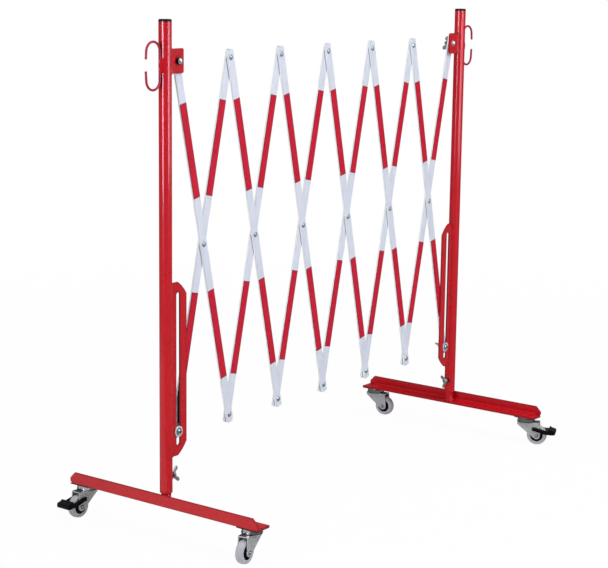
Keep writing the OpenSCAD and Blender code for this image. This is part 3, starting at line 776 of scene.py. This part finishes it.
for side, x, flip in ENDS:
    hook_saddle(x, flip).make(f"{side}_hook_weld", WELD, f"{side}_post", "red_paint")
    post_welds(x, flip).make(f"{side}_post_welds", RED, f"{side}_post", "red_paint")
    ring = Parts().bead(stub_seam(x, flip), *STUB_BEAD, closed=True, seed=5.0)
    ring.make(f"{side}_stub_weld", RED, f"{side}_foot", "red_paint")


# Castors: a mounting plate under the foot, near black for painted shade, a dark ring of painted
# shade under the cup, domed axle ends with dark rims of painted shade, and bosses on the brake
# pedals' pivots. Rings are given by their two radii, and SKIN is the gap that keeps a piece off
# the solid that it lies on.
SKIN = 0.02
PLATE_X = (-19.4, 20.6)
PLATE_Y = (-24, 29)
PLATE_T = 1.9
CUP_SHADE_R = (12.0, 22.3)
CUP_SHADE_Z = (0.05, 1.2)
BOSS_R = 4.9
BOSS_H = 1.0
CAP_R = 2.9
CAP_H = 1.7
CAP_OFF = 0.05
CAP_SHADE_R = (2.6, 4.1)
CAP_SHADE_H = 0.45


def dress_castor(name, side, end, swing):
    foot = "left_foot" if side < 0 else "right_foot"
    turn = math.radians(swing)
    trail = Vector((math.cos(turn), math.sin(turn), 0))
    axle = Vector((-math.sin(turn), math.cos(turn), 0))
    up = Vector((0, 0, 1))
    centre = Vector((side * (POST_X - CASTOR_OFF), end * CASTOR_Y, 0))

    xs = sorted(side * (POST_X + u) for u in PLATE_X)
    ys = sorted(end * (CASTOR_Y + v) for v in PLATE_Y)
    plate = Parts().block((xs[0], ys[0], FOOT_LOW - PLATE_T), (xs[1], ys[1], FOOT_LOW - SKIN))
    plate.make(name + "_plate", SHADE, foot, "red_paint", smooth=False)

    # Painted shade: a black ring under the cup.
    cup_shade = Parts().collar(centre + up * CROWN_TOP, up, *CUP_SHADE_R, *CUP_SHADE_Z)
    cup_shade.make(name + "_seal", BLACK, name + "_swivel", "black_plastic")

    if name in BRAKED:
        bosses = Parts()
        for s in (-1, 1):
            pin = centre + trail * PEDAL_U + up * PEDAL_Z + axle * (s * PEDAL_OUT)
            bosses.dome(pin, axle * s, BOSS_R, BOSS_H)
        bosses.make(name + "_pedal_bosses", BLACK, name + "_pedal", "black_plastic")

    caps, rims = Parts(), Parts()
    for s in (-1, 1):
        arm = centre + trail * TRAIL + up * WHEEL_R + axle * (s * ARM_OUT)
        caps.dome(arm + axle * (s * CAP_OFF), axle * s, CAP_R, CAP_H)
        # Painted shade: a black ring round each axle end.
        rims.collar(arm, axle * s, *CAP_SHADE_R, SKIN, CAP_SHADE_H)
    caps.make(name + "_axle_ends", BRIGHT, name + "_swivel", "zinc")
    rims.make(name + "_axle_shade_rims", BLACK, name + "_swivel", "black_plastic")


for name, (side, end, swing) in CASTORS.items():
    dress_castor(name, side, end, swing)


# Fasteners: the dressing of the bolts' heads and the flared wings of the clamp screws.
HEAD_R = 7.0
HEAD_H = 5.0
HEAD_OUT = 6.4
HEAD_RINGS = (28, 8)
SPACER_R = (5.0, HEAD_R + 0.2)
WASHER_R = 12.0
WASHER_T = 1.6
FACE_BORE = HEAD_R + 0.1
FACE_T = 0.25
COAT = 0.15
HEAD_SHADE_R = (HEAD_R - 0.3, HEAD_R + 0.5)
HEAD_SHADE_H = 0.8
EYE_R = 3.0
EYE_H = 0.8
EYE_OUT = 4.7
WING_HUB = ((0.0, 6.4), (0.5, 7.0), (5.5, 5.9), (7.0, 4.8))
WING_REACH = 14.4
WING_ROOT = 3.3
WING_WIDEN = 1.3
WING_TIP = 4.6
WING_FOOT_UP = 3.4
WING_FOOT_OUT = 2.2
WING_UP = 8.5
WING_FLARE = 11.6
WING_T = 1.4
WING_TILT = math.radians(-12)


def flared_wings(base, out, up):
    """A hub, from (height, radius) rings, and two round-ended wings that lean outwards."""
    across = out.cross(up).normalized()
    shape = Parts().rings([
        [base + out * h + (up * math.cos(t) + across * math.sin(t)) * r
         for t in (2 * math.pi * j / 24 for j in range(24))]
        for h, r in WING_HUB
    ])
    for s in (-1, 1):
        lean = (up * (s * WING_UP) + out * WING_FLARE).normalized()
        side = (up * (s * WING_FLARE) - out * WING_UP).normalized()
        loops = []
        for i in range(19):
            d = (WING_REACH + WING_TIP * 0.995) * math.sin(math.pi / 2 * i / 18)
            if d < WING_REACH:
                wide = WING_ROOT + WING_WIDEN * d / WING_REACH
            else:
                wide = math.sqrt(WING_TIP ** 2 - (d - WING_REACH) ** 2)
            thick = min(WING_T, wide)
            centre = base + up * (s * WING_FOOT_UP) + out * WING_FOOT_OUT + lean * d
            loops.append([
                centre + side * (wide * math.cos(2 * math.pi * j / 14))
                + across * (thick * math.sin(2 * math.pi * j / 14))
                for j in range(14)
            ])
        shape.rings(loops)
    return shape


def dress_bracket_bolt(centre, front):
    """The left bolt stands off its bracket on a black spacer."""
    spacer = Parts().collar(centre, front, *SPACER_R, SKIN, HEAD_OUT)
    spacer.make("left_bracket_spacer", BLACK, "left_post", "black_plastic")
    head = Parts().dome(centre + front * HEAD_OUT, front, HEAD_R - 0.5, HEAD_H, *HEAD_RINGS)
    head.make("left_bracket_head", BRIGHT, "left_post", "zinc")


def dress_slot_bolt(side, centre, front):
    """A pale washer face, and a blued head with a dark eye and a dark rim of painted shade round
    its foot.
    """
    carrier = "back_bar_1" if side == "left" else f"front_bar_{CELLS}"
    face = Parts().collar(centre, front, FACE_BORE, WASHER_R, SKIN, FACE_T)
    face.make(f"{side}_slot_washer_face", PALE, carrier, "zinc")
    head = Parts().dome(centre, front, HEAD_R + COAT, HEAD_H + COAT, *HEAD_RINGS)
    head.make(f"{side}_slot_head", BLUED, carrier, "zinc")
    # Painted shade: a dark ring round the head's foot.
    rim = Parts().collar(centre, front, *HEAD_SHADE_R, 0.0, HEAD_SHADE_H)
    rim.make(f"{side}_slot_head_shade_rim", TEAL, carrier, "zinc")
    eye = Parts().dome(centre + front * EYE_OUT, front, EYE_R, EYE_H)
    eye.make(f"{side}_slot_head_eye", TEAL, carrier, "zinc")


for side, x, flip in ENDS:
    front = Vector((0, -1, 0))
    if side == "left":
        dress_bracket_bolt(Vector((x + flip * PIVOT_OUT, PLATE_FRONT, PIVOT_Z)), front)
    low = Vector((x + flip * PIVOT_OUT, PLATE_FRONT - WASHER_T, LOW_Z))
    dress_slot_bolt(side, low, front)
    wings = flared_wings(Vector((x + flip * (TUBE_R + 6.8), 0, CLAMP_Z)), Vector((flip, 0, 0)),
                         Vector((0, -math.sin(WING_TILT), math.cos(WING_TILT))))
    screw = wings.make(f"{side}_clamp_wings", WING, f"{side}_clamp_screw", "zinc")
    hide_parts(f"{side}_clamp_screw")

slot_shadow_strip()


# Camera, fitted to the photograph: its focal length and width are in the photograph's pixels,
# its turns in degrees and its place in metres from the left post's middle on the floor.
FOCAL_PX = 1741.2
PHOTO_W_PX = 608.0
CAMERA_PITCH, CAMERA_ROLL, CAMERA_YAW = 10.844, 0.729, 53.023
CAMERA_X, CAMERA_Y, CAMERA_Z = -2.6241, -2.3299, 1.2133
SENSOR = 36.0


def aim_camera():
    pitch, roll = math.radians(CAMERA_PITCH), math.radians(CAMERA_ROLL)
    yaw = math.radians(CAMERA_YAW)
    ahead = Vector((math.sin(yaw) * math.cos(pitch), math.cos(yaw) * math.cos(pitch),
                    -math.sin(pitch)))
    level = Vector((math.cos(yaw), -math.sin(yaw), 0))
    above = level.cross(ahead)
    right = math.cos(roll) * level + math.sin(roll) * above
    up = -math.sin(roll) * level + math.cos(roll) * above
    data = bpy.data.cameras.new("photo_camera")
    data.sensor_fit = "HORIZONTAL"
    data.sensor_width = SENSOR
    data.lens = SENSOR * FOCAL_PX / PHOTO_W_PX
    data.clip_start, data.clip_end = 0.1, 300.0
    camera = bpy.data.objects.new("photo_camera", data)
    bpy.context.scene.collection.objects.link(camera)
    turn = Matrix((right, up, -ahead)).transposed()
    place = Vector((CAMERA_X - POST_X * MM, CAMERA_Y, CAMERA_Z))
    camera.matrix_world = Matrix.Translation(place) @ turn.to_4x4()
    bpy.context.scene.camera = camera


aim_camera()


# Floor, world and lamps, in metres -----------------------------------------

FLOOR_HALF = 90.0
SHADOW_NEAR, SHADOW_FAR = 0.8, 3.5
STRIP_AWAY = 2.6
STRIP_H = 2.0
STRIP_X = -0.55


def floor():
    """White to the camera; near the object it shows its shadow, and further out it fades."""
    mesh = bpy.data.meshes.new("floor")
    r = FLOOR_HALF
    mesh.from_pydata([(-r, -r, 0), (r, -r, 0), (r, r, 0), (-r, r, 0)], [], [(0, 1, 2, 3)])
    obj = bpy.data.objects.new("floor", mesh)
    bpy.context.scene.collection.objects.link(obj)
    s = Shader("floor_white")
    s.set(Base_Color=(*grey(0.93), 1), Roughness=0.9, Specular_IOR_Level=0.0)
    glow = s.node("ShaderNodeEmission")
    glow.inputs["Color"].default_value = (1, 1, 1, 1)
    glow.inputs["Strength"].default_value = 1.0
    far = s.node("ShaderNodeVectorMath", operation="LENGTH")
    s.link(s.place, far.inputs[0])
    fade = s.range(far.outputs["Value"], 0.965, 1.0, SHADOW_NEAR, SHADOW_FAR)
    seen = s.node("ShaderNodeLightPath").outputs["Is Camera Ray"]
    share = s.math("MULTIPLY", seen, fade)
    surface = s.mix_shaders(share, s.bsdf.outputs["BSDF"], glow.outputs["Emission"])
    s.link(surface, s.tree.nodes["Material Output"].inputs["Surface"])
    mesh.materials.append(s.material)
    obj.visible_glossy = False


def world():
    """A plain soft light; the camera sees white, and reflections see a room."""
    made = bpy.data.worlds.new("studio")
    bpy.context.scene.world = made
    studio = Tree(made)
    light = studio.tree.nodes["Background"]
    light.inputs["Color"].default_value = (0.95, 0.97, 1.0, 1)
    light.inputs["Strength"].default_value = 0.30
    # The room has a white floor below, dark walls around and a pale ceiling.
    height = studio.range(studio.split(studio.coordinates("Generated"))["Z"], 0.0, 1.0, -1.0, 1.0)
    levels = ((0.0, 0.75), (0.16, 0.55), (0.30, 0.14), (0.62, 0.14), (1.0, 0.45))
    room = studio.ramp(height, [(at, grey(level)) for at, level in levels])
    rays = studio.node("ShaderNodeLightPath")
    last = light.outputs["Background"]
    for ray in ("Is Glossy Ray", "Is Camera Ray"):
        shown = studio.node("ShaderNodeBackground")
        shown.inputs["Color"].default_value = (1, 1, 1, 1)
        if ray == "Is Glossy Ray":
            studio.link(room, shown.inputs["Color"])
        last = studio.mix_shaders(rays.outputs[ray], last, shown.outputs["Background"])
    studio.link(last, studio.tree.nodes["World Output"].inputs["Surface"])


def soft_box(name, width, height, power):
    data = bpy.data.lights.new(name, "AREA")
    data.shape = "RECTANGLE"
    data.size, data.size_y = width, height
    data.energy = power
    obj = bpy.data.objects.new(name, data)
    bpy.context.scene.collection.objects.link(obj)
    return obj


def lamp(name, azimuth, elevation, distance, width, height, power,
         aim=(0, 0, 0.5), lights=True, colour=(1, 1, 1)):
    """A soft box; azimuth 0 is in front of the barrier, at -Y, and 90 on its right.
    One that doesn't light is seen in reflections only, as a studio's strip box is."""
    obj = soft_box(name, width, height, power)
    obj.data.color = colour
    a, e = math.radians(azimuth), math.radians(elevation)
    back = Vector((math.sin(a) * math.cos(e), -math.cos(a) * math.cos(e), math.sin(e)))
    obj.location = Vector(aim) + back * distance
    obj.rotation_mode = "QUATERNION"
    obj.rotation_quaternion = (-back).to_track_quat("-Z", "Y")
    obj.visible_diffuse = lights


def strip(name, azimuth, width, power, aim_z, colour):
    lamp(name, azimuth, 0, STRIP_AWAY, width, STRIP_H, power, (STRIP_X, 0, aim_z), False, colour)


def floor_card(x0, x1, y0, y1, level):
    """The white floor on the left as reflections see it: it faces up and lights nothing."""
    obj = soft_box("floor_card", x1 - x0, y1 - y0, level * math.pi * (x1 - x0) * (y1 - y0))
    obj.location = ((x0 + x1) / 2, (y0 + y1) / 2, 0.002)
    obj.rotation_euler = (math.pi, 0, 0)
    obj.visible_diffuse = False
    obj.visible_camera = False


floor()
world()
strip("strip_left", -90, 0.55, 72, 1.36, (0.85, 0.72, 1.0))
strip("strip_front", 9, 0.45, 34, 1.43, (0.85, 0.78, 1.0))
strip("strip_side", 34, 0.9, 22, 1.43, (0.85, 0.85, 1.0))
floor_card(-2.2, -0.62, -0.3, 1.6, 0.36)
lamp("key_left", -92, 20, 4.0, 2.4, 2.4, 50)
lamp("key_front", 5, 40, 4.0, 2.4, 2.0, 76)
lamp("key_above", -40, 78, 4.0, 2.6, 2.6, 45)
lamp("fill_back", 120, 35, 5.0, 2.5, 2.5, 14)

bpy.context.scene.view_settings.view_transform = "Standard"
